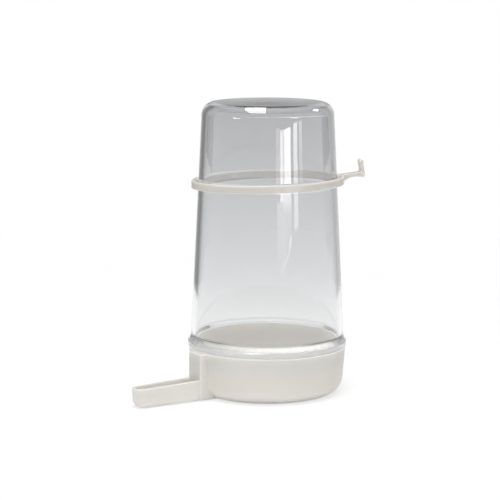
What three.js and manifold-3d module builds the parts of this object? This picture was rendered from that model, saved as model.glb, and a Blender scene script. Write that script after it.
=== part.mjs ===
// Tube bird drinker: a clear reservoir dome stands mouth down in a moulded base with a drinking trough,
// and a hanger ring with a hook sits round the dome.
// Millimetres, +Z up. The origin is on the dome's axis, in the plane of the base's underside.
// The trough points along -Y.
import * as THREE from "three";
import { mergeVertices } from "three/addons/utils/BufferGeometryUtils.js";
import Module from "manifold-3d";

// Clearances between the pieces
const seatGap = 0.3; // collar above the rim that it rests on
const spigotGap = 0.3; // spigot to each wall of its groove
const grooveGap = 0.5; // end of the spigot above the bottom of the groove
const ringGap = 0.35; // lip of the ring round the dome, on the radius

// Cup of the base
const baseHeight = 25;
const rimRadius = 42;
const baseDraft = 4.8; // degrees, the cup narrows towards its foot
const footRound = 8.5;
const socketWall = 1.8; // wall outside the groove that takes the spigot
const grooveDepth = 7.4; // from the rim down
const grooveWidth = 1.7;
const neckHeight = 4.6; // the groove's inner wall goes on as a neck, this far over the rim
const neckWall = 1.2; // at its top
const boreDraft = 2.5; // degrees, the inside narrows towards the floor
const floorThickness = 2.2;
const floorRound = 6;
const rimRound = 0.6;

// Box that joins the cup to the trough, full height, hollow, with a roof level with the rim
const boxStand = 3.4; // front face beyond the cup's rim
const boxReach = rimRadius + boxStand; // front face from the dome's axis
const boxWidth = 12;
const boxWall = 1.5;
const boxRoof = 1.8;
const boxCornerRound = 0.7;
const archLintel = 1.6; // what stays below the groove over the arch through the cup wall
const passageHeight = 5.6; // water passage under the front wall, over the floor

// Trough
const troughLength = 36.6; // from the box's front face to the tip
const troughReach = boxReach + troughLength;
const troughRootWidth = 11.2; // a little less than the box, whose corners stand proud
const troughTipWidth = 10;
const troughWall = 1.4;
const troughLift = 0.6; // underside above the plane that the cup stands on
const troughRootHeight = 11.4; // rim above the same plane
const troughTipHeight = 10.4;
const troughTipRound = 4.2; // in plan
const troughNoseRound = 3; // lower corner of the tip, seen from the side
const troughNoseSlope = 0.8; // the tip leans out by this much towards its rim
const troughEdgeRound = 1.4; // long lower edges

// Reservoir dome
const reservoirHeight = 155.2; // crown above the plane that the base stands on
const collarHeight = 6;
const collarLip = 2; // upright part of the collar, below its flare
const collarOverhang = 0.35; // over the rim
const collarRadius = rimRadius + collarOverhang;
const collarRound = 1.6;
const collarStep = 1.55; // the wall above the flare stands in by this much
const domeFootRadius = collarRadius - collarStep;
const domeTaper = 6; // on the radius, from the collar up to the crown
const domeCrownRadius = domeFootRadius - domeTaper; // where wall and crown would meet
const shoulderRound = 7.2;
const domeWall = 2; // at the crown; at the foot it comes from the groove
const crownThickness = 2.2;
const edgeRound = 0.5;
const spigotRound = 0.3;

// Hanger ring, which leans a little on the taper of the dome
const ringTop = 114.9; // top edge at the dome's axis
const ringHeight = 4.2;
const ringTopThickness = 2;
const ringLipThickness = 3.2;
const ringEdgeRound = 0.5;
const ringLean = 1.8; // degrees
const ringLeanTurn = 30; // degrees from +X towards +Y, where the ring is highest
const hookTurn = 69; // degrees from +X towards +Y

// Hook of the ring
const wireRoom = 5.2; // for a cage wire, between the box's front face and the finger
const armRootWidth = 9;
const armWaistWidth = 4.6;
const armEndWidth = 5;
const armRise = 1.1; // top of the arm at the finger, over the ring's top edge
const armThickness = 1.8;
const armEndThickness = 3;
const fingerThickness = 2.1;
const fingerHeight = 6.5; // over the arm
const fingerLean = 0.9; // the tip leans towards the ring by this much
const fingerRound = 1;
const hookRound = 1.2;

// Facets
const turnSegments = 72;
const mergeDistance = 1e-4;

const wasm = await Module();
wasm.setup();

const grooveRadius = rimRadius - socketWall; // outer wall of the groove
const neckRadius = grooveRadius - grooveWidth;
const neckTop = baseHeight + neckHeight;
const grooveBottom = baseHeight - grooveDepth;
const collarBottom = baseHeight + seatGap;
const collarTop = collarBottom + collarHeight;

// Points of a closed outline through corners [x, y, radius, steps]; a corner with a radius becomes an arc.
function rounded(corners) {
  const points = [];
  corners.forEach(([x, y, radius = 0, steps = 3], i) => {
    const corner = new THREE.Vector2(x, y);
    if (radius === 0) {
      points.push(corner);
      return;
    }
    const [beforeX, beforeY] = corners[(i + corners.length - 1) % corners.length];
    const [afterX, afterY] = corners[(i + 1) % corners.length];
    const back = new THREE.Vector2(beforeX, beforeY).sub(corner);
    const ahead = new THREE.Vector2(afterX, afterY).sub(corner);
    const room = Math.min(back.length(), ahead.length()) / 2;
    back.normalize();
    ahead.normalize();
    const half = Math.acos(THREE.MathUtils.clamp(back.dot(ahead), -1, 1)) / 2;
    const tangent = Math.min(radius / Math.tan(half), room);
    const arcRadius = tangent * Math.tan(half);
    const middle = back.clone().add(ahead).normalize();
    const centre = corner.clone().addScaledVector(middle, arcRadius / Math.sin(half));
    const from = corner.clone().addScaledVector(back, tangent).sub(centre);
    const sweep = Math.sign(ahead.cross(back)) * (Math.PI - 2 * half);
    for (let step = 0; step <= steps; step++) {
      const turned = from.clone().rotateAround(new THREE.Vector2(), (sweep * step) / steps);
      points.push(turned.add(centre));
    }
  });
  return points;
}

// The same corners with their mirror image in the X axis, as one closed outline.
function mirrored(corners) {
  const otherSide = corners.map(([x, y, ...rest]) => [x, -y, ...rest]);
  return [...corners, ...otherSide.reverse()];
}

// Solids for joining and cutting
function toSolid(geometry) {
  geometry.deleteAttribute("normal");
  geometry.deleteAttribute("uv");
  const merged = mergeVertices(geometry, mergeDistance);
  const index = merged.index.array;
  const triangles = [];
  for (let i = 0; i < index.length; i += 3) {
    const [a, b, c] = index.slice(i, i + 3);
    if (a !== b && b !== c && c !== a) triangles.push(a, b, c);
  }
  const vertProperties = merged.attributes.position.array;
  const triVerts = new Uint32Array(triangles);
  return new wasm.Manifold(new wasm.Mesh({ numProp: 3, vertProperties, triVerts }));
}

function toGeometry(solid) {
  const { vertProperties, triVerts } = solid.getMesh();
  const geometry = new THREE.BufferGeometry();
  geometry.setAttribute("position", new THREE.BufferAttribute(vertProperties, 3));
  geometry.setIndex(new THREE.BufferAttribute(triVerts, 1));
  geometry.computeVertexNormals();
  return geometry;
}

// A profile of [radius, height] turned round the Z axis.
function revolve(corners) {
  const points = rounded(corners);
  const turned = new THREE.LatheGeometry([...points, points[0].clone()], turnSegments);
  return toSolid(turned.rotateX(Math.PI / 2));
}

// A plan outline pushed up from bottom to top, with its lower and upper edges rounded.
function upright(points, bottom, top, edge = 0) {
  const geometry = new THREE.ExtrudeGeometry(new THREE.Shape(points), {
    depth: top - bottom - 2 * edge,
    bevelEnabled: edge > 0,
    bevelThickness: edge,
    bevelSize: edge,
    bevelOffset: -edge,
    bevelSegments: 3,
  });
  return toSolid(geometry.translate(0, 0, bottom + edge));
}

// A side outline in X and Z, pushed along Y to a width that lies half on each side.
function sideways(points, width) {
  const geometry = new THREE.ExtrudeGeometry(new THREE.Shape(points), { depth: width, bevelEnabled: false });
  return toSolid(geometry.translate(0, 0, -width / 2).rotateX(Math.PI / 2));
}

// Base: the cup's outer form, then box and trough, then everything that is hollow.
// Box and trough are drawn along +X and turned to -Y at the end.
function cupOutside() {
  const footRadius = rimRadius - baseHeight * Math.tan(THREE.MathUtils.degToRad(baseDraft));
  const midGroove = (neckRadius + grooveRadius) / 2;
  return revolve([
    [0, 0],
    [footRadius, 0, footRound, 6],
    [rimRadius, baseHeight, rimRound],
    [midGroove, baseHeight],
    [midGroove, neckTop + grooveDepth],
    [0, neckTop + grooveDepth],
  ]);
}

function cupInside() {
  const boreRadius = neckRadius - neckWall;
  const boreSlope = Math.tan(THREE.MathUtils.degToRad(boreDraft));
  const floorRadius = boreRadius - (neckTop - floorThickness) * boreSlope;
  const above = neckTop + 2 * grooveDepth;
  return revolve([
    [0, floorThickness],
    [floorRadius, floorThickness, floorRound, 5],
    [boreRadius, neckTop, neckWall / 3, 2],
    [neckRadius, neckTop, neckWall / 3, 2],
    [neckRadius, grooveBottom],
    [grooveRadius, grooveBottom],
    [grooveRadius, above],
    [0, above],
  ]);
}

function boxOutside() {
  const plan = mirrored([
    [0, boxWidth / 2],
    [boxReach, boxWidth / 2, boxCornerRound],
  ]);
  return upright(rounded(plan), troughLift, baseHeight);
}

function troughPlan(inset, root) {
  const tip = troughReach - inset;
  const rootHalf = troughRootWidth / 2 - inset;
  const tipHalf = troughTipWidth / 2 - inset;
  return rounded(
    mirrored([
      [root, rootHalf],
      [tip, tipHalf, troughTipRound - inset, 5],
    ]),
  );
}

function troughOutside() {
  const root = boxReach - boxWall;
  const nose = troughReach - troughNoseSlope;
  const plan = upright(troughPlan(0, root), troughLift, baseHeight, troughEdgeRound);
  const side = rounded([
    [root, troughLift],
    [nose, troughLift, troughNoseRound, 5],
    [troughReach, troughTipHeight],
    [boxReach, troughRootHeight],
    [root, troughRootHeight],
  ]);
  return plan.intersect(sideways(side, boxWidth * 2));
}

function baseHollows() {
  const innerWidth = boxWidth - 2 * boxWall;
  const troughInnerWidth = troughRootWidth - 2 * troughWall;
  const innerReach = boxReach - boxWall;
  const archTop = grooveBottom - archLintel;
  const archRoot = neckRadius / 2;
  const arch = sideways(
    [
      new THREE.Vector2(archRoot, floorThickness),
      new THREE.Vector2(innerReach, floorThickness),
      new THREE.Vector2(innerReach, archTop),
      new THREE.Vector2(archRoot, archTop),
    ],
    innerWidth,
  );
  const shaft = sideways(
    [
      new THREE.Vector2(rimRadius, floorThickness),
      new THREE.Vector2(innerReach, floorThickness),
      new THREE.Vector2(innerReach, baseHeight - boxRoof),
      new THREE.Vector2(rimRadius, baseHeight - boxRoof),
    ],
    innerWidth,
  );
  const passageTop = floorThickness + passageHeight;
  const passage = sideways(
    [
      new THREE.Vector2(rimRadius, floorThickness),
      new THREE.Vector2(boxReach + boxWall, floorThickness),
      new THREE.Vector2(boxReach + boxWall, passageTop),
      new THREE.Vector2(rimRadius, passageTop),
    ],
    troughInnerWidth,
  );
  const troughInside = upright(troughPlan(troughWall, boxReach), floorThickness, 2 * baseHeight);
  return arch.add(shaft).add(passage).add(troughInside);
}

function drinkingBase() {
  const spout = boxOutside().add(troughOutside()).subtract(baseHollows());
  const wholeCup = cupOutside().subtract(baseHollows().rotate([0, 0, -90]));
  const turnedSpout = spout.rotate([0, 0, -90]);
  return toGeometry(wholeCup.add(turnedSpout).subtract(cupInside()));
}

// Reservoir: one turned shell, open at the spigot, which has the same gap to both walls of the groove.
const spigotRadius = grooveRadius - spigotGap;
const spigotInside = neckRadius + spigotGap;
const spigotEnd = grooveBottom + grooveGap;

function reservoirDome() {
  const shell = revolve([
    [0, reservoirHeight],
    [0, reservoirHeight - crownThickness],
    [domeCrownRadius - domeWall, reservoirHeight - crownThickness, shoulderRound - domeWall, 6],
    [spigotInside, collarTop, collarRound],
    [spigotInside, spigotEnd, spigotRound],
    [spigotRadius, spigotEnd, spigotRound],
    [spigotRadius, collarBottom],
    [collarRadius, collarBottom, edgeRound],
    [collarRadius, collarBottom + collarLip, collarRound],
    [domeFootRadius, collarTop, collarRound],
    [domeCrownRadius, reservoirHeight, shoulderRound, 7],
  ]);
  return toGeometry(shell);
}

// Hanger ring: a band whose bore narrows to a lip at the bottom, and a hook drawn along +X.
// Heights are measured from the band's top edge.
const domeSlope = (domeFootRadius - domeCrownRadius) / (reservoirHeight - collarTop);
const lipRadius = domeFootRadius - (ringTop - ringHeight - collarTop) * domeSlope + ringGap;
const ringRadius = lipRadius + ringLipThickness;

function ringBand() {
  const boreAtTop = ringRadius - ringTopThickness;
  return revolve([
    [lipRadius, -ringHeight, ringEdgeRound, 2],
    [ringRadius, -ringHeight, ringEdgeRound, 2],
    [ringRadius, 0, ringEdgeRound, 2],
    [boreAtTop, 0, ringEdgeRound, 2],
  ]);
}

function hook() {
  const root = ringRadius - ringTopThickness / 2;
  const front = boxReach + wireRoom;
  const back = front + fingerThickness;
  const armLength = front - ringRadius;
  const waist = ringRadius + armLength / 2;
  const tip = armRise + fingerHeight;
  const side = rounded([
    [root, -ringEdgeRound],
    [ringRadius, 0, hookRound],
    [front, armRise, hookRound, 4],
    [front - fingerLean, tip, fingerRound, 4],
    [back - fingerLean, tip, fingerRound, 4],
    [back, armRise - armEndThickness, hookRound, 4],
    [waist, armRise / 2 - armThickness, armLength, 4],
    [root, -ringHeight + ringEdgeRound],
  ]);
  const plan = rounded(
    mirrored([
      [root, armRootWidth / 2],
      [waist, armWaistWidth / 2, armLength, 5],
      [back, armEndWidth / 2, fingerRound, 4],
    ]),
  );
  return sideways(side, armRootWidth * 2).intersect(upright(plan, -2 * ringHeight, 2 * tip));
}

function hangerRing() {
  return toGeometry(ringBand().add(hook()));
}

// Materials
const clearPlastic = new THREE.MeshStandardMaterial({ color: 0xc9ced6, roughness: 0.08, transparent: true, opacity: 0.35 });
const milkyPlastic = new THREE.MeshStandardMaterial({ color: 0xdad7d0, roughness: 0.42 });
const ivoryPlastic = new THREE.MeshStandardMaterial({ color: 0xd9d5c9, roughness: 0.5 });

function piece(name, geometry, material) {
  const mesh = new THREE.Mesh(geometry, material);
  mesh.name = name;
  return mesh;
}

// Assembly
const drinker = new THREE.Group();
drinker.add(piece("drinking_base", drinkingBase(), milkyPlastic));
drinker.add(piece("reservoir_dome", reservoirDome(), clearPlastic));

// The ring is turned to its hook, then tipped up towards the side where it is highest.
const ring = piece("hanger_ring", hangerRing(), ivoryPlastic);
ring.rotation.z = THREE.MathUtils.degToRad(hookTurn - ringLeanTurn);
const leaning = new THREE.Group();
leaning.rotation.y = -THREE.MathUtils.degToRad(ringLean);
leaning.add(ring);
const leanTurned = new THREE.Group();
leanTurned.rotation.z = THREE.MathUtils.degToRad(ringLeanTurn);
leanTurned.position.z = ringTop;
leanTurned.add(leaning);
drinker.add(leanTurned);

export default drinker;
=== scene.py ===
import math
import bmesh
import bpy
from mathutils import Matrix, Vector


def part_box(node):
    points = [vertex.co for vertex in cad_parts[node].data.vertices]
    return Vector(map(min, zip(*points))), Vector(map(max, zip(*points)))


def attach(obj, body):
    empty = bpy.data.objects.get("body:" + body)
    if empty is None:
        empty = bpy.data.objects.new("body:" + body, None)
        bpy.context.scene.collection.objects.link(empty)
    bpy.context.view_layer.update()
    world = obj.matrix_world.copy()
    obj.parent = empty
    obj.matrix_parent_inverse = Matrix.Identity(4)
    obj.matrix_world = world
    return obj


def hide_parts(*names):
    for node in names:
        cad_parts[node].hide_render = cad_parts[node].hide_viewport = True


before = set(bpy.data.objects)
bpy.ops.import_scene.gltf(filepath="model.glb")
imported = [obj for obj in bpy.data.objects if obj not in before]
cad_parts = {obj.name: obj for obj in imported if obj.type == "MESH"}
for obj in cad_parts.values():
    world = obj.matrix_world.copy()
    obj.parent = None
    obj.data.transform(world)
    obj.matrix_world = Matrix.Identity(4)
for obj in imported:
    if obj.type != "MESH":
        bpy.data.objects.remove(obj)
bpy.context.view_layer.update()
scene = bpy.context.scene
scene.view_settings.view_transform = "Standard"
scene.cycles.max_bounces = 40  # light runs a long way inside clear walls
scene.cycles.transmission_bounces = 32
scene.cycles.glossy_bounces = 24
mm = 0.001


def linked(name, data):  # a new object in the scene
    made = bpy.data.objects.new(name, data)
    scene.collection.objects.link(made)
    return made


# Camera, where the photograph was taken from
viewpoint = dict(
    azimuth=57.0,  # degrees round the dome, from the side that the trough points to
    distance=1055.5,  # mm from the dome's axis, along the table
    height=241.1,  # mm over the table
    pitch=8.887,  # degrees down
    yaw=-0.503,  # degrees to the right
    roll=0.137,  # degrees
    lens=144.35,  # mm
    sensor=36.0,  # mm
    nearest=0.01,  # m, nothing closer is shown
)


def addCamera(v):
    data = bpy.data.cameras.new("camera")
    data.sensor_width = v["sensor"]
    data.lens = v["lens"]
    data.clip_start = v["nearest"]
    turn = math.radians(v["azimuth"])
    out = v["distance"]
    place = Vector((math.sin(turn) * out, -math.cos(turn) * out, v["height"])) * mm
    heading = Matrix.Rotation(math.radians(v["azimuth"] - v["yaw"]), 4, "Z")
    tilt = Matrix.Rotation(math.radians(90 - v["pitch"]), 4, "X")
    roll = Matrix.Rotation(math.radians(v["roll"]), 4, "Z")
    camera = linked("camera", data)
    camera.matrix_world = Matrix.Translation(place) @ heading @ tilt @ roll
    scene.camera = camera


addCamera(viewpoint)
print("camera set")


# Outlines: corners are (x, y), (x, y, radius) or (x, y, radius, steps) in mm, as one closed outline
def roundCorners(corners, usualSteps=8):
    points = []
    for i, corner in enumerate(corners):
        here = Vector(corner[:2])
        radius = corner[2] if len(corner) > 2 else 0
        steps = corner[3] if len(corner) > 3 else usualSteps
        if radius == 0:
            points.append(here)
            continue
        back = Vector(corners[i - 1][:2]) - here
        ahead = Vector(corners[(i + 1) % len(corners)][:2]) - here
        room = min(back.length, ahead.length) / 2
        back.normalize()
        ahead.normalize()
        half = math.acos(max(-1.0, min(1.0, back.dot(ahead)))) / 2
        reach = min(radius / math.tan(half), room)
        arc = reach * math.tan(half)
        centre = here + (back + ahead).normalized() * (arc / math.sin(half))
        start = here + back * reach - centre
        cross = ahead.x * back.y - ahead.y * back.x
        sweep = math.copysign(math.pi - 2 * half, cross)
        for step in range(steps + 1):
            points.append(centre + Matrix.Rotation(sweep * step / steps, 2) @ start)
    return points


def holdFlats(points, gap):  # points close to both ends of each long run, which keep its shading flat
    held = []
    for here, after in zip(points, points[1:] + points[:1]):
        held.append(here)
        run = after - here
        if run.length > 4 * gap:
            held.append(here + run.normalized() * gap)
            held.append(after - run.normalized() * gap)
    return held


def mirrorCorners(corners):
    return corners + [(x, -y, *rest) for x, y, *rest in reversed(corners)]


def quarterRound(steps):  # pairs along a quarter circle: sine, and one less cosine, both from 0 to 1
    angles = [math.pi / 2 * k / steps for k in range(steps + 1)]
    return [(math.sin(angle), 1 - math.cos(angle)) for angle in angles]


def between(low, high, steps):  # even steps from low, which is left out, up to high
    return [low + (high - low) * k / steps for k in range(1, steps + 1)]


def pointing(angle):
    return Vector((math.cos(angle), math.sin(angle)))


# Meshes: all take mm and make metres
def meshFrom(name, bm):
    bmesh.ops.recalc_face_normals(bm, faces=bm.faces)
    mesh = bpy.data.meshes.new(name)
    bm.to_mesh(mesh)
    bm.free()
    return mesh


def stitch(bm, rings):  # quads between neighbouring closed rings of as many points
    for lower, upper in zip(rings, rings[1:]):
        count = len(lower)
        for k in range(count):
            after = (k + 1) % count
            corners = dict.fromkeys([lower[k], lower[after], upper[after], upper[k]])
            if len(corners) > 2:
                bm.faces.new(list(corners))


def turned(name, outline, turns):  # outline of radius and height, turned round Z
    bm = bmesh.new()
    rings = []
    for point in outline:
        if point.x < 1e-6:  # on the axis
            rings.append([bm.verts.new((0, 0, point.y * mm))] * turns)
            continue
        ring = []
        for k in range(turns):
            angle = 2 * math.pi * k / turns
            place = Vector((math.cos(angle) * point.x, math.sin(angle) * point.x, point.y))
            ring.append(bm.verts.new(place * mm))
        rings.append(ring)
    stitch(bm, rings + rings[:1])
    return meshFrom(name, bm)


def lofted(name, rings):  # closed rings of points, one over the other, with both ends filled
    bm = bmesh.new()
    made = [[bm.verts.new(point * mm) for point in ring] for ring in rings]
    stitch(bm, made)
    bm.faces.new(made[0])
    bm.faces.new(made[-1])
    return meshFrom(name, bm)


def extruded(name, outline, place, low, high):  # outline pushed from low to high; place gives the 3-D point
    return lofted(name, [[place(p.x, p.y, level) for p in outline] for level in (low, high)])


def applied(name, maker, helpers=()):  # the mesh that the maker's modifiers give; maker and helpers go
    graph = bpy.context.evaluated_depsgraph_get()
    result = bpy.data.meshes.new_from_object(maker.evaluated_get(graph))
    for used in [maker, *helpers]:
        mesh = used.data
        bpy.data.objects.remove(used)
        bpy.data.meshes.remove(mesh)
    result.name = name
    return result


def combined(name, start, steps):  # joins and cuts, in order, each an operation and a mesh
    maker = linked(name, start)
    helpers = []
    for operation, mesh in steps:
        helper = linked(mesh.name, mesh)
        modifier = maker.modifiers.new(operation, "BOOLEAN")
        modifier.operation = operation
        modifier.solver = "EXACT"
        modifier.object = helper
        helpers.append(helper)
    return applied(name, maker, helpers)


def shadeByAngle(mesh, degrees):
    mesh.shade_smooth()
    mesh.set_sharp_from_angle(angle=math.radians(degrees))


def addPiece(name, mesh, material, body, node):
    piece = linked(name, mesh)
    mesh.materials.clear()
    mesh.materials.append(material)
    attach(piece, body)
    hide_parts(node)
    print("piece:", name, len(mesh.polygons), "faces")
    return piece


def keepFlat(piece):  # flat faces stay flat in the shading, beside their rounds
    normals = piece.modifiers.new("flats", "WEIGHTED_NORMAL")
    normals.keep_sharp = True


# Material nodes
def newMaterial(name):
    material = bpy.data.materials.new(name)
    material.use_nodes = True
    tree = material.node_tree
    return material, tree, tree.nodes["Principled BSDF"]


def setValues(node, values):
    for name, value in values.items():
        node.inputs[name].default_value = value


def toOutput(tree, result, kind="Surface"):
    tree.links.new(result, tree.nodes["Material Output"].inputs[kind])


def grainNode(tree, scale, detail, stretch=(1, 1, 1)):  # noise on the piece's own metres
    where = tree.nodes.new("ShaderNodeTexCoord")
    shape = tree.nodes.new("ShaderNodeMapping")
    noise = tree.nodes.new("ShaderNodeTexNoise")
    setValues(shape, {"Scale": stretch})
    setValues(noise, {"Scale": scale, "Detail": detail})
    tree.links.new(where.outputs["Object"], shape.inputs["Vector"])
    tree.links.new(shape.outputs["Vector"], noise.inputs["Vector"])
    return noise.outputs["Fac"]


def spread(tree, fac, low, high, fromLow=0.3, fromHigh=0.7):  # noise is mostly from 0.3 to 0.7
    ramp = tree.nodes.new("ShaderNodeMapRange")
    setValues(ramp, {"From Min": fromLow, "From Max": fromHigh, "To Min": low, "To Max": high})
    tree.links.new(fac, ramp.inputs["Value"])
    return ramp.outputs["Result"]


def twoColours(tree, fac, first, second):
    mix = tree.nodes.new("ShaderNodeMix")
    mix.data_type = "RGBA"
    setValues(mix, {"A": (*first, 1), "B": (*second, 1)})
    tree.links.new(fac, mix.inputs["Factor"])
    return mix.outputs["Result"]


def heightNode(tree, kind="Object"):  # height on the piece in metres; Generated gives 0 to 1 over it
    where = tree.nodes.new("ShaderNodeTexCoord")
    split = tree.nodes.new("ShaderNodeSeparateXYZ")
    tree.links.new(where.outputs[kind], split.inputs["Vector"])
    return split.outputs["Z"]


def tintWithPaintedShadeByHeight(tree, tintsWithPaintedShade):  # colours at heights in mm, from the lowest up: the plastic's tint with painted shade
    low, high = tintsWithPaintedShade[0][0], tintsWithPaintedShade[-1][0]
    along = spread(tree, heightNode(tree), 0, 1, low * mm, high * mm)
    ramp = tree.nodes.new("ShaderNodeValToRGB")
    for i, (height, colour) in enumerate(tintsWithPaintedShade):
        place = (height - low) / (high - low)
        stop = ramp.color_ramp.elements[i] if i < 2 else ramp.color_ramp.elements.new(place)
        stop.position = place
        stop.color = (*colour, 1)
    tree.links.new(along, ramp.inputs["Fac"])
    return ramp.outputs["Color"]


def bumpNode(tree, height, strength, depth, below=None):  # depth in mm
    bump = tree.nodes.new("ShaderNodeBump")
    setValues(bump, {"Strength": strength, "Distance": depth * mm})
    tree.links.new(height, bump.inputs["Height"])
    if below:
        tree.links.new(below, bump.inputs["Normal"])
    return bump.outputs["Normal"]


def mathNode(tree, operation, first, second):
    node = tree.nodes.new("ShaderNodeMath")
    node.operation = operation
    tree.links.new(first, node.inputs[0])
    if isinstance(second, float):
        node.inputs[1].default_value = second
    else:
        tree.links.new(second, node.inputs[1])
    return node.outputs["Value"]


def mixShaders(tree, fac, first, second):
    mix = tree.nodes.new("ShaderNodeMixShader")
    tree.links.new(fac, mix.inputs["Fac"])
    tree.links.new(first, mix.inputs[1])
    tree.links.new(second, mix.inputs[2])
    return mix.outputs["Shader"]


def satinPlastic(name, f):  # cloudy moulding that lets a little light in
    material, tree, shader = newMaterial(name)
    clouds = grainNode(tree, f["cloudScale"], f["cloudDetail"])
    colour = twoColours(tree, spread(tree, clouds, 0, 1), f["deep"], f["pale"])
    tree.links.new(colour, shader.inputs["Base Color"])
    tree.links.new(spread(tree, clouds, f["roughHigh"], f["roughLow"]), shader.inputs["Roughness"])
    setValues(shader, {
        "IOR": f["ior"],
        "Subsurface Weight": f["glow"],
        "Subsurface Radius": f["glowColours"],
        "Subsurface Scale": f["glowDepth"] * mm,
    })
    normal = None
    for scale, detail, depth in f["grains"]:
        normal = bumpNode(tree, grainNode(tree, scale, detail), f["grainStrength"], depth, normal)
    tree.links.new(normal, shader.inputs["Normal"])
    return material


# Base: a cup with a groove for the spigot and a neck inside it, a hollow box at its side and an open trough
baseSizes = dict(
    rim=42.0, draft=4.8, footRound=8.5,  # outside of the cup, draft in degrees
    socketWall=1.8, grooveDepth=7.4, grooveWidth=1.7, grooveRound=0.25,  # groove that takes the spigot
    neckWall=1.2, neckHeight=4.6, neckRound=0.4, boreDraft=2.5,  # neck inside the groove, up over the rim
    height=25.0, floor=2.2, floorRound=6.0, rimRound=0.2,
    boxWidth=12.0, boxReach=45.4, boxWall=1.5, boxRoof=1.8, boxRound=0.7, roofRound=0.45,
    cornerLeast=0.15,  # least round of the box's upright edges, where its ends are rounded off
    flare=1.6, flareSteps=8,  # hollow round where the box meets the cup
    flareBite=0.04,  # how far the flare runs into the cup, so that the two cross cleanly
    archLintel=1.6, archRound=1.0, passageHeight=5.6, cutLift=0.05,
    archStart=0.7,  # share of the rim's radius where the arch's cut begins
    troughRootWidth=11.2, troughTipWidth=10.0, troughWall=1.4, lift=0.6,
    rootHeight=11.4, tipHeight=10.4, tipRound=4.2, noseRound=3.0, noseLean=0.8,
    edgeRound=1.4, lipRound=0.55, gutterRound=0.9,
    turns=224, flatHold=0.25, shadeAngle=38,
)


def cupRadius(s, height):  # outside of the cup at a height
    draft = math.radians(s["draft"])
    bend = s["footRound"]
    foot = s["rim"] - s["height"] * math.tan(draft)
    if height > bend * (1 - math.sin(draft)):
        return foot + height * math.tan(draft)
    centre = foot + bend * math.tan(draft) - bend / math.cos(draft)
    return centre + math.sqrt(bend**2 - (bend - height) ** 2)


def cupShell(s):
    groove = s["rim"] - s["socketWall"]
    neck = groove - s["grooveWidth"]
    grooveBottom = s["height"] - s["grooveDepth"]
    neckTop = s["height"] + s["neckHeight"]
    bore = neck - s["neckWall"]
    narrowing = (neckTop - s["floor"]) * math.tan(math.radians(s["boreDraft"]))
    outline = roundCorners([
        (0, 0),
        (s["rim"] - s["height"] * math.tan(math.radians(s["draft"])), 0, s["footRound"], 16),
        (s["rim"], s["height"], s["rimRound"], 6),
        (groove, s["height"], s["rimRound"], 6),
        (groove, grooveBottom, s["grooveRound"], 4),
        (neck, grooveBottom, s["grooveRound"], 4),
        (neck, neckTop, s["neckRound"], 5),
        (bore, neckTop, s["neckRound"], 5),
        (bore - narrowing, s["floor"], s["floorRound"], 12),
        (0, s["floor"]),
    ])
    return turned("cup", holdFlats(outline, s["flatHold"]), s["turns"])


def alongTrough(out, side, height):  # the box and the trough point along -Y
    return Vector((side, -out, height))


def boxRing(s, height, inset):  # outline of the box at a height, flared where it meets the cup
    half = s["boxWidth"] / 2 - inset
    cup = cupRadius(s, height) - s["flareBite"]
    flare = s["flare"] + inset
    centre = Vector((math.sqrt((cup + flare) ** 2 - (half + flare) ** 2), half + flare))
    touch = centre.normalized() * cup
    start = math.atan2(touch.y - centre.y, touch.x - centre.x)
    sweep = -math.pi / 2 - start
    side = []
    for share in (1 / 3, 1):  # the back follows the cup, halfway into its wall
        angle = math.atan2(centre.y, centre.x) * share
        side.append(pointing(angle) * (cup - s["socketWall"] / 2))
    for step in range(s["flareSteps"] + 1):
        side.append(centre + pointing(start + sweep * step / s["flareSteps"]) * flare)
    front = s["boxReach"] - inset
    corner = max(s["boxRound"] - inset, s["cornerLeast"])
    hold = s["flatHold"]
    side.append(Vector((centre.x + hold, half)))
    side.append(Vector((front - corner - hold, half)))
    for up, across in reversed(quarterRound(6)):
        side.append(Vector((front - corner * across, half - corner * (1 - up))))
    side.append(Vector((front, half - corner - hold)))
    whole = side + [Vector((p.x, -p.y)) for p in reversed(side)]
    return [alongTrough(p.x, p.y, height) for p in whole]


def boxBody(s):
    edge, foot, roof = s["boxRound"], s["footRound"], s["roofRound"]
    low = s["lift"] + edge
    high = s["height"] - roof
    levels = [(s["lift"] + edge * up, edge * (1 - across)) for across, up in quarterRound(5)]
    levels += [(level, 0) for level in between(low, foot, 11)]  # close together, to follow the cup's foot
    levels += [(level, 0) for level in between(foot, high - s["flatHold"], 5)]
    levels += [(high + roof * up, roof * across) for up, across in quarterRound(5)]
    return lofted("box", [boxRing(s, height, inset) for height, inset in levels])


def troughSection(s, point, outward):  # closed section of the wall at a point of the plan, from keel to floor
    facing = max(0.0, outward.x)  # 1 at the tip, 0 along the sides
    run = (point.x - s["boxReach"]) / (s["reach"] - s["boxReach"])
    top = s["rootHeight"] + (s["tipHeight"] - s["rootHeight"]) * run
    lower = s["edgeRound"] + (s["noseRound"] - s["edgeRound"]) * facing**2
    keel, floor = s["lift"], s["floor"]
    lip, wall, gutter, hold = s["lipRound"], s["troughWall"], s["gutterRound"], s["flatHold"]
    places = [(lower + hold, keel)]
    places += [(lower * (1 - across), keel + lower * up) for across, up in quarterRound(8)]
    places += [(0, keel + lower + hold), (0, top - lip - hold)]
    places += [(lip * across, top - lip * (1 - up)) for up, across in quarterRound(5)]
    places += [(wall - lip * across, top - lip * (1 - up)) for up, across in reversed(quarterRound(5))]
    places += [(wall, top - lip - hold), (wall, floor + gutter + hold)]
    places += [(wall + gutter * across, floor + gutter * (1 - up)) for up, across in quarterRound(5)]
    places.append((wall + gutter + hold, floor))
    section = []
    for inset, height in places:
        lean = s["noseLean"] * facing * (top - height) / (top - keel)
        place = point - outward * (inset + lean)
        section.append(alongTrough(place.x, place.y, height))
    return section


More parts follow.
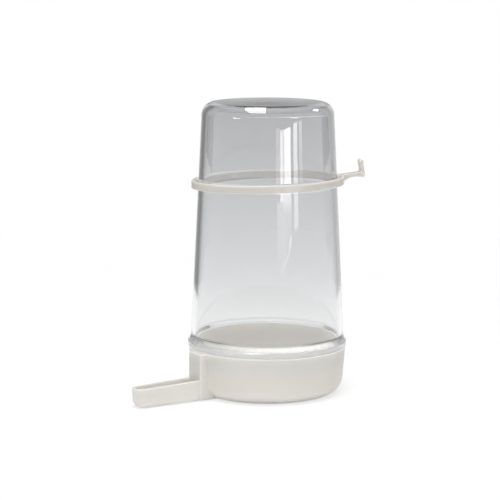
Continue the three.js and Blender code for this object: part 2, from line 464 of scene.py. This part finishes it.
def troughBody(s):
    root = s["boxReach"] - s["boxWall"] / 2
    slant = (s["troughRootWidth"] - s["troughTipWidth"]) / 2 / (s["reach"] - s["boxReach"])
    rootHalf = s["troughRootWidth"] / 2 + slant * (s["boxReach"] - root)
    corners = mirrorCorners([(root, rootHalf), (s["reach"], s["troughTipWidth"] / 2, s["tipRound"], 14)])
    plan = roundCorners(corners)
    sideways = Vector((slant, 1)).normalized()
    sections = []
    for i, point in enumerate(plan):
        if i == 0:
            outward = sideways
        elif i == len(plan) - 1:
            outward = Vector((sideways.x, -sideways.y))
        else:
            before = (point - plan[i - 1]).normalized()
            after = (plan[i + 1] - point).normalized()
            along = before + after
            outward = Vector((-along.y, along.x)).normalized()
            if outward.dot(point - Vector((s["boxReach"], 0))) < 0:
                outward = -outward
        sections.append(troughSection(s, point, outward))
    bm = bmesh.new()
    made = [[bm.verts.new(p * mm) for p in section] for section in sections]
    for lower, upper in zip(made, made[1:]):
        for k in range(len(lower) - 1):
            bm.faces.new([lower[k], lower[k + 1], upper[k + 1], upper[k]])
    half = len(made) // 2
    for k in range(half - 1):  # keel and floor, from side to side
        for end in (0, -1):
            bm.faces.new([made[k][end], made[k + 1][end], made[-2 - k][end], made[-1 - k][end]])
    bm.faces.new(made[0] + made[-1][::-1])
    return meshFrom("trough", bm)


def waterways(s):  # arch through the cup wall, shaft in the box, passage to the trough
    inner = s["boxWidth"] / 2 - s["boxWall"]
    troughInner = s["troughRootWidth"] / 2 - s["troughWall"]
    innerReach = s["boxReach"] - s["boxWall"]
    outReach = s["boxReach"] + s["boxWall"]
    low = s["floor"] + s["cutLift"]
    archTop = s["height"] - s["grooveDepth"] - s["archLintel"]
    spans = dict(  # half the width, where it starts and ends, and its top
        arch=(inner, s["rim"] * s["archStart"], innerReach, archTop),
        shaft=(inner, s["rim"], innerReach, s["height"] - s["boxRoof"]),
        passage=(troughInner, s["rim"] + s["flatHold"], outReach, low + s["passageHeight"]),
    )
    cuts = []
    for name, (half, near, far, top) in spans.items():
        bend = s["archRound"]
        outline = roundCorners([(-half, low), (half, low), (half, top, bend, 6), (-half, top, bend, 6)])
        cuts.append(extruded(name, outline, lambda x, y, out: alongTrough(out, x, y), near, far))
    return cuts


def drinkingBase(s, material):
    steps = [("UNION", boxBody(s)), ("UNION", troughBody(s))]
    steps += [("DIFFERENCE", cut) for cut in waterways(s)]
    mesh = combined("drinkingBase", cupShell(s), steps)
    shadeByAngle(mesh, s["shadeAngle"])
    keepFlat(addPiece("drinkingBase", mesh, material, "base", "drinking_base"))


milkyFinish = dict(
    pale=(0.85, 0.825, 0.78), deep=(0.81, 0.785, 0.735), ior=1.49,
    cloudScale=38, cloudDetail=5, roughLow=0.34, roughHigh=0.46,
    glow=1.0, glowDepth=3.0, glowColours=(1.0, 0.96, 0.88),  # how far light goes in, mm
    grains=((120, 3, 0.05), (2600, 2, 0.02)),  # flow marks, then fine grain: scale, detail, depth in mm
    grainStrength=0.3,
)

baseSizes["reach"] = -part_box("drinking_base")[0][1] / mm
drinkingBase(baseSizes, satinPlastic("milkyPlastic", milkyFinish))

# Reservoir: a turned clear shell with a collar, and a spigot that goes into the base
domeSizes = dict(
    collarRadius=42.35, collarHeight=6.0, collarRound=1.6,
    collarLip=2.71,  # upright foot of the collar, below its flare
    collarEdge=0.45,  # small slope at the top of the foot, which catches the light
    stop=0.35,  # small step inside the wall, over the neck
    foot=40.8, crownRadius=34.8, shoulder=7.2,  # outside
    wall=2.0, crownWall=2.2, dish=0.25,  # the crown sinks a little towards its middle
    spigotRadius=39.9, spigotWall=1.1, spigotDrop=7.2,  # drop below the collar
    spigotRound=0.3, spigotRoot=0.2,  # rounds at its end and under the collar
    edge=0.5, turns=288, flatHold=0.25, shadeAngle=50,
)


def reservoirDome(s, material):
    collarTop = s["collarBottom"] + s["collarHeight"]
    lipTop = s["collarBottom"] + s["collarLip"]
    spigotEnd = s["collarBottom"] - s["spigotDrop"]
    inside = s["spigotRadius"] - s["spigotWall"]
    under = s["top"] - s["crownWall"]
    outline = roundCorners([
        (0, s["top"] - s["dish"]),
        (s["crownRadius"], s["top"], s["shoulder"], 24),
        (s["foot"], collarTop, s["collarRound"], 6),
        (s["collarRadius"] - s["collarEdge"], lipTop + s["collarEdge"], s["collarEdge"], 5),
        (s["collarRadius"], lipTop, s["collarEdge"] / 2, 5),
        (s["collarRadius"], s["collarBottom"], s["edge"], 5),
        (s["spigotRadius"], s["collarBottom"], s["spigotRoot"], 3),
        (s["spigotRadius"], spigotEnd, s["spigotRound"], 4),
        (inside, spigotEnd, s["spigotRound"], 4),
        (inside, collarTop, s["stop"] / 2, 4),
        (inside - s["stop"], collarTop + s["stop"], s["stop"] / 2, 4),
        (s["crownRadius"] - s["wall"], under, s["shoulder"] - s["wall"], 20),
        (0, under),
    ])
    mesh = turned("reservoirDome", holdFlats(outline, s["flatHold"]), s["turns"])
    shadeByAngle(mesh, s["shadeAngle"])
    addPiece("reservoirDome", mesh, material, "reservoir", "reservoir_dome")


clearFinish = dict(
    ior=1.57,
    tintsWithPaintedShade=(  # by height, mm: a light smoke tint, with painted shade that makes it darker upwards
        (30.9, (0.97, 0.972, 0.975)),
        (31.4, (0.80, 0.81, 0.815)), (32.1, (0.80, 0.81, 0.815)),  # painted shade: a dark line over the collar, standing in for darker surroundings seen through the flare's top
        (32.6, (0.95, 0.952, 0.955)), (38, (0.925, 0.928, 0.928)),
        (62, (0.834, 0.837, 0.843)), (100, (0.752, 0.755, 0.764)), (110.4, (0.733, 0.736, 0.745)),
        (110.9, (0.93, 0.935, 0.93)), (114.8, (0.93, 0.935, 0.93)),  # painted light: paler where the ring sits, so the ring's back seen through the wall looks lighter
        (115.2, (0.724, 0.727, 0.737)), (148, (0.665, 0.668, 0.678)), (153.2, (0.66, 0.663, 0.673)),
        (153.8, (0.3, 0.303, 0.31)), (154.7, (0.3, 0.303, 0.31)),  # painted shade: a dark line round the crown, standing in for dark surroundings seen in its edge
        (154.9, (0.665, 0.668, 0.678)),
    ),
    absorbs=(0.80, 0.815, 0.83), density=20.0,  # per metre
    roughLow=0.01, roughHigh=0.05, smudgeScale=26, smudgeDetail=6, smudgeRange=(0.45, 0.75),
    scuffed=0.6, scuffTo=(27.0, 31.0),  # how clear the fitted end still is, and where it clears, mm up
    rippleScale=90, rippleDetail=2, rippleStretch=(1, 1, 0.06), rippleStrength=0.15, rippleDepth=0.08,
    throughLamps=(0.97, 0.972, 0.975),
)


def clearPlastic(f):
    material, tree, shader = newMaterial("clearPlastic")
    # base colour: the plastic's tint, with painted shade by height
    tree.links.new(tintWithPaintedShadeByHeight(tree, f["tintsWithPaintedShade"]), shader.inputs["Base Color"])
    setValues(shader, {"IOR": f["ior"]})
    low, high = f["scuffTo"]
    scuffs = spread(tree, heightNode(tree), f["scuffed"], 1, low * mm, high * mm)
    tree.links.new(scuffs, shader.inputs["Transmission Weight"])
    smudges = grainNode(tree, f["smudgeScale"], f["smudgeDetail"])
    rough = spread(tree, smudges, f["roughLow"], f["roughHigh"], *f["smudgeRange"])
    tree.links.new(rough, shader.inputs["Roughness"])
    ripple = grainNode(tree, f["rippleScale"], f["rippleDetail"], f["rippleStretch"])
    tree.links.new(bumpNode(tree, ripple, f["rippleStrength"], f["rippleDepth"]), shader.inputs["Normal"])
    rays = tree.nodes.new("ShaderNodeLightPath")
    clear = tree.nodes.new("ShaderNodeBsdfTransparent")
    setValues(clear, {"Color": (*f["throughLamps"], 1)})
    lighting = mathNode(tree, "MAXIMUM", rays.outputs["Is Shadow Ray"], rays.outputs["Is Diffuse Ray"])
    toOutput(tree, mixShaders(tree, lighting, shader.outputs["BSDF"], clear.outputs["BSDF"]))
    absorption = tree.nodes.new("ShaderNodeVolumeAbsorption")
    setValues(absorption, {"Color": (*f["absorbs"], 1), "Density": f["density"]})
    toOutput(tree, absorption.outputs["Volume"], "Volume")
    return material


domeSizes["top"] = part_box("reservoir_dome")[1][2] / mm
domeSizes["collarBottom"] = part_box("reservoir_dome")[0][2] / mm + domeSizes["spigotDrop"]
reservoirDome(domeSizes, clearPlastic(clearFinish))

# Hanger ring: a band whose bore narrows to a lip, with a hook moulded on
ringSizes = dict(
    top=114.9, height=4.2, lipRadius=37.305, lipWall=3.2, topWall=2.0, topRound=0.95, edge=0.5,
    lean=1.8, leanTurn=30.0, hookTurn=69.0,  # degrees
    armReach=12.2, armRoot=9.0, armWaist=4.6, armEnd=5.0, armRise=1.1, armWall=1.8, armEndWall=3.0,
    fingerWall=2.1, fingerHeight=6.5, fingerLean=0.9, fingerRound=1.0, hookRound=1.2,
    softEdge=0.35, softAngle=40, softSteps=4,  # edges of the hook that turn by more than the angle
    turns=256, flatHold=0.2, shadeAngle=38,
)


def ringBand(s):
    outer = s["lipRadius"] + s["lipWall"]
    outline = roundCorners([
        (s["lipRadius"], -s["height"], s["edge"], 5),
        (outer, -s["height"], s["edge"], 5),
        (outer, 0, s["topRound"], 8),
        (outer - s["topWall"], 0, s["topRound"], 8),
    ])
    return turned("band", holdFlats(outline, s["flatHold"]), s["turns"])


def ringHook(s):
    outer = s["lipRadius"] + s["lipWall"]
    root = outer - s["topWall"] / 2
    back = outer + s["armReach"]
    front = back - s["fingerWall"]
    waist = (outer + front) / 2
    tip = s["armRise"] + s["fingerHeight"]
    side = roundCorners([
        (root, -s["edge"]),
        (outer, 0, s["hookRound"], 4),
        (front, s["armRise"], s["hookRound"], 8),
        (front - s["fingerLean"], tip, s["fingerRound"], 8),
        (back - s["fingerLean"], tip, s["fingerRound"], 8),
        (back, s["armRise"] - s["armEndWall"], s["hookRound"], 8),
        (waist, s["armRise"] / 2 - s["armWall"], s["armReach"], 8),
        (root, -s["height"] + s["edge"]),
    ])
    plan = roundCorners(mirrorCorners([
        (root, s["armRoot"] / 2),
        (waist, s["armWaist"] / 2, s["armReach"], 10),
        (back, s["armEnd"] / 2, s["fingerRound"], 8),
    ]))
    sideBody = extruded("hookSide", side, lambda x, z, y: Vector((x, y, z)), -s["armRoot"], s["armRoot"])
    planBody = extruded("hookPlan", plan, lambda x, y, z: Vector((x, y, z)), -2 * s["height"], 2 * tip)
    maker = linked("hookMaker", combined("hook", sideBody, [("INTERSECT", planBody)]))
    soften = maker.modifiers.new("soften", "BEVEL")
    soften.limit_method = "ANGLE"
    soften.angle_limit = math.radians(s["softAngle"])
    soften.width = s["softEdge"] * mm
    soften.segments = s["softSteps"]
    return applied("hookSoft", maker)


def hangerRing(s, material):
    mesh = combined("hangerRing", ringBand(s), [("UNION", ringHook(s))])
    turn = Matrix.Rotation(math.radians(s["hookTurn"] - s["leanTurn"]), 4, "Z")
    lean = Matrix.Rotation(math.radians(-s["lean"]), 4, "Y")
    back = Matrix.Rotation(math.radians(s["leanTurn"]), 4, "Z")
    mesh.transform(Matrix.Translation((0, 0, s["top"] * mm)) @ back @ lean @ turn)
    shadeByAngle(mesh, s["shadeAngle"])
    keepFlat(addPiece("hangerRing", mesh, material, "ring", "hanger_ring"))


ivoryFinish = dict(
    pale=(0.75, 0.725, 0.685), deep=(0.71, 0.68, 0.64), ior=1.51,
    cloudScale=60, cloudDetail=5, roughLow=0.24, roughHigh=0.36,
    glow=0.8, glowDepth=2.5, glowColours=(1.0, 0.93, 0.82),  # how far light goes in, mm
    grains=((2400, 2, 0.02),), grainStrength=0.3,  # scale, detail, depth in mm
)

hangerRing(ringSizes, satinPlastic("ivoryPlastic", ivoryFinish))

# Studio: white floor and surround, soft lamps and cards; turns are from the camera's side, to its right
studio = dict(
    floorSize=12.0, floorColour=(0.97, 0.97, 0.97), floorRough=0.9, floorShine=0.1,  # m
    shadowKeeps=0.38,  # how much of its shadow the floor keeps near the dome
    fadeStart=0.2, fadeEnd=0.6,  # m from the dome, where the floor goes over into the background
    floorLit=0.86,  # what the lamps make of the floor where nothing shades it
    surround=0.32,  # light from all round
    lampAim=0.5, cardAim=0.8,  # shares of the dome's height that lamps and cards stand round
    lamps=dict(
        overhead=dict(turn=0, rise=80, away=1.3, size=(1.0, 0.9), power=13.0),
        fill=dict(turn=-8, rise=14, away=1.5, size=(0.7, 0.5), power=2.3),
    ),
    glints=dict(  # seen in gloss only: turn from and to, rise from and to, brightness at top and bottom
        windowPink=dict(turns=(13.4, 20.5), rises=(-2.4, 0.9), glow=(3.2, 2.8), colour=(1, 0.86, 0.9)),
        windowLeft=dict(turns=(20.5, 24.3), rises=(-2.9, 0.75), glow=(9, 8)),
        windowBar=dict(turns=(24.3, 27.5), rises=(-2.4, 0.75), glow=(6, 6)),
        windowMiddle=dict(turns=(27.5, 38.2), rises=(-2.41, 0.75), glow=(12, 10)),
        windowSlim=dict(turns=(43, 50), rises=(-4.4, 0.75), glow=(8, 4.1)),
        windowEdge=dict(turns=(53.5, 59), rises=(-3.3, 0.75), glow=(4.5, 1.2)),
        windowFade=dict(turns=(24.3, 38.2), rises=(-3.95, -2.75), away=0.79, glow=(7.4, 3.4)),
        windowLow=dict(turns=(15, 30), rises=(-7.7, -3.2), away=0.8, glow=(3.2, 1.2)),
        windowFoot=dict(turns=(30, 38.2), rises=(-6.2, -3.2), away=0.8, glow=(3.2, 1.6)),
        windowTail=dict(  # slanting to the left as it goes down
            path=((37.4, -5.68), (36, -5.87), (34, -6.72), (29.6, -7.07), (24.2, -7.61), (22.4, -8.15)),
            width=3.2, away=0.78, glow=(4.4, 1.4),
        ),
        lampLeft=dict(turns=(-62, -49), rises=(8, 16), glow=(9, 9)),
        lampRight=dict(turns=(39, 54), rises=(15, 22), glow=(10, 10)),
        lampBehind=dict(turns=(115, 132), rises=(36, 44), glow=(12, 12)),
    ),
    glintAway=1.4,  # m, where a glint gives no distance of its own
    bendStep=15,  # degrees that each flat of a bent card spans at most
    softbox=dict(  # in gloss only, brightest to the right, lower by sag at a turn of sagAt
        turns=(-115, 130), rises=(26.2, 29.8), sag=18, sagAt=110, away=1.6, glow=7, lean=1.6,
    ),
    panel=dict(  # over the dome; corners to the right and towards the camera, as shares of its height
        corners=((-0.48, 0.48), (-0.05, 0.59), (-0.016, -0.82), (-0.19, -0.81), (-0.37, -0.14)),
        over=1.1, glow=10,
    ),
    flags=dict(  # grey cards that draw the dome's edges and crown; fade is beyond each end, in degrees
        left=dict(turns=(-155, -133), rises=(-30, 30), away=0.42, glow=(0.3, 0.3), fade=10, through=True),
        right=dict(turns=(133, 155), rises=(-30, 30), away=0.42, glow=(0.6, 0.6), fade=10, through=True),
        behind=dict(turns=(105, 255), rises=(6.1, 66), away=1.8, glow=(0.46, 0.46)),
        behindLow=dict(turns=(105, 255), rises=(3.8, 6.1), away=1.8, glow=(0.46, 0.05)),
        behindFoot=dict(turns=(105, 255), rises=(-3.5, 3.8), away=1.8, glow=(0.05, 0.05)),
    ),
)


def onAxis(share):  # point on the dome's axis, at a share of its height
    return Vector((0, 0, domeSizes["top"] * share)) * mm


def around(turn, rise, away):
    azimuth = math.radians(viewpoint["azimuth"] + turn)
    rise = math.radians(rise)
    flat = math.cos(rise)
    return Vector((math.sin(azimuth) * flat, -math.cos(azimuth) * flat, math.sin(rise))) * away


def seenDirectly(tree):  # 1 for what the camera, gloss and clear plastic show, 0 for light on dull surfaces
    rays = tree.nodes.new("ShaderNodeLightPath")
    either = mathNode(tree, "MAXIMUM", rays.outputs["Is Camera Ray"], rays.outputs["Is Glossy Ray"])
    either = mathNode(tree, "MAXIMUM", either, rays.outputs["Is Transmission Ray"])
    direct = mathNode(tree, "LESS_THAN", rays.outputs["Diffuse Depth"], 0.5)
    return mathNode(tree, "MULTIPLY", either, direct)


def whiteSurround(s):
    world = bpy.data.worlds.new("surround")
    scene.world = world
    world.use_nodes = True
    tree = world.node_tree
    light = tree.nodes["Background"]
    white = tree.nodes.new("ShaderNodeBackground")
    setValues(light, {"Color": (1, 1, 1, 1), "Strength": s["surround"]})
    setValues(white, {"Color": (1, 1, 1, 1)})
    shown = mixShaders(tree, seenDirectly(tree), light.outputs["Background"], white.outputs["Background"])
    tree.links.new(shown, tree.nodes["World Output"].inputs["Surface"])


def whiteFloor(s):
    bm = bmesh.new()
    bmesh.ops.create_grid(bm, x_segments=4, y_segments=4, size=s["floorSize"] / 2)
    floor = linked("floor", meshFrom("floor", bm))
    material, tree, shader = newMaterial("floorPaper")
    setValues(shader, {
        "Base Color": (*s["floorColour"], 1),
        "Roughness": s["floorRough"],
        "Specular IOR Level": s["floorShine"],
    })
    where = tree.nodes.new("ShaderNodeNewGeometry")
    length = tree.nodes.new("ShaderNodeVectorMath")
    length.operation = "LENGTH"
    tree.links.new(where.outputs["Position"], length.inputs[0])
    away = length.outputs["Value"]
    keeps = s["shadowKeeps"]
    fade = spread(tree, away, 1 - keeps, 1, s["fadeStart"], s["fadeEnd"])
    missing = (1 - s["floorLit"]) * keeps / (1 - keeps)
    lift = spread(tree, away, 1 + missing, 1, s["fadeStart"], s["fadeEnd"])
    white = tree.nodes.new("ShaderNodeEmission")
    tree.links.new(lift, white.inputs["Strength"])
    shown = mathNode(tree, "MULTIPLY", fade, seenDirectly(tree))
    toOutput(tree, mixShaders(tree, shown, shader.outputs["BSDF"], white.outputs["Emission"]))
    floor.data.materials.append(material)


def addLamps(s):
    aim = onAxis(s["lampAim"])
    for name, lamp in s["lamps"].items():
        data = bpy.data.lights.new(name, "AREA")
        data.shape = "RECTANGLE"
        data.size, data.size_y = lamp["size"]
        data.energy = lamp["power"]
        light = linked(name, data)
        light.location = aim + around(lamp["turn"], lamp["rise"], lamp["away"])
        light.rotation_euler = (aim - light.location).to_track_quat("-Z", "Y").to_euler()
        light.visible_camera = False
        light.visible_glossy = False
        light.visible_transmission = False


def addCard(name, faces, glow, through=False, colour=(1, 1, 1)):  # glow at the top and bottom edges
    bm = bmesh.new()
    for corners in faces:
        bm.faces.new([bm.verts.new(corner) for corner in corners])
    card = linked(name, meshFrom(name, bm))
    material, tree, _ = newMaterial(name)
    light = tree.nodes.new("ShaderNodeEmission")
    setValues(light, {"Color": (*colour, 1)})
    strength = spread(tree, heightNode(tree, "Generated"), glow[1], glow[0], 0, 1)
    tree.links.new(strength, light.inputs["Strength"])
    toOutput(tree, light.outputs["Emission"])
    card.data.materials.append(material)
    card.visible_camera = False
    card.visible_diffuse = False
    card.visible_shadow = False
    card.visible_transmission = through


def cardFace(places, away):  # corners from turns and rises
    return [onAxis(studio["cardAim"]) + around(turn, rise, away) for turn, rise in places]


def bentCard(turns, rises, away, sag=0, sagAt=1):  # flats side by side round the dome
    (left, right), (low, high) = turns, rises
    count = math.ceil((right - left) / studio["bendStep"])
    steps = [left + (right - left) * k / count for k in range(count + 1)]
    faces = []
    for here, after in zip(steps, steps[1:]):
        places = [(here, low), (after, low), (after, high), (here, high)]
        faces.append(cardFace([(turn, rise - sag * (turn / sagAt) ** 2) for turn, rise in places], away))
    return faces


def ribbonCard(path, width, away):  # flats along a path of turns and rises
    faces = []
    for (turn, rise), (nextTurn, nextRise) in zip(path, path[1:]):
        upper = [(turn - width / 2, rise), (turn + width / 2, rise)]
        lower = [(nextTurn + width / 2, nextRise), (nextTurn - width / 2, nextRise)]
        faces.append(cardFace(upper + lower, away))
    return faces


def fadedFlag(turns, glow, fade, count=5):  # the flag, and strips beside it that go over into white
    left, right = turns
    strips = [(turns, glow)]
    for k in range(count if fade else 0):
        near, far = fade * k / count, fade * (k + 1) / count
        pale = [shade + (1 - shade) * (k + 0.5) / count for shade in glow]
        strips += [((left - far, left - near), pale), ((right + near, right + far), pale)]
    return strips


def addCards(s):
    for name, card in s["glints"].items():
        away = card.get("away", s["glintAway"])
        if "path" in card:
            faces = ribbonCard(card["path"], card["width"], away)
        else:
            faces = bentCard(card["turns"], card["rises"], away)
        addCard(name, faces, card["glow"], colour=card.get("colour", (1, 1, 1)))
    box = s["softbox"]
    faces = bentCard(box["turns"], box["rises"], box["away"], box["sag"], box["sagAt"])
    for k, face in enumerate(faces):
        glow = box["glow"] * math.sin(math.pi * ((k + 0.5) / len(faces)) ** box["lean"])
        addCard("softbox", [face], (glow, glow))
    for name, card in s["flags"].items():
        for turns, glow in fadedFlag(card["turns"], card["glow"], card.get("fade", 0)):
            faces = bentCard(turns, card["rises"], card["away"])
            addCard(name + "Flag", faces, glow, card.get("through", False))
    panel = s["panel"]
    corners = []
    for right, toward in panel["corners"]:
        offset = around(90, 0, right) + around(0, 0, toward) + Vector((0, 0, 1))
        corners.append(onAxis(1) + offset * panel["over"])
    addCard("panel", [corners], (panel["glow"], panel["glow"]))


whiteSurround(studio)
whiteFloor(studio)
addLamps(studio)
addCards(studio)
print("studio set")
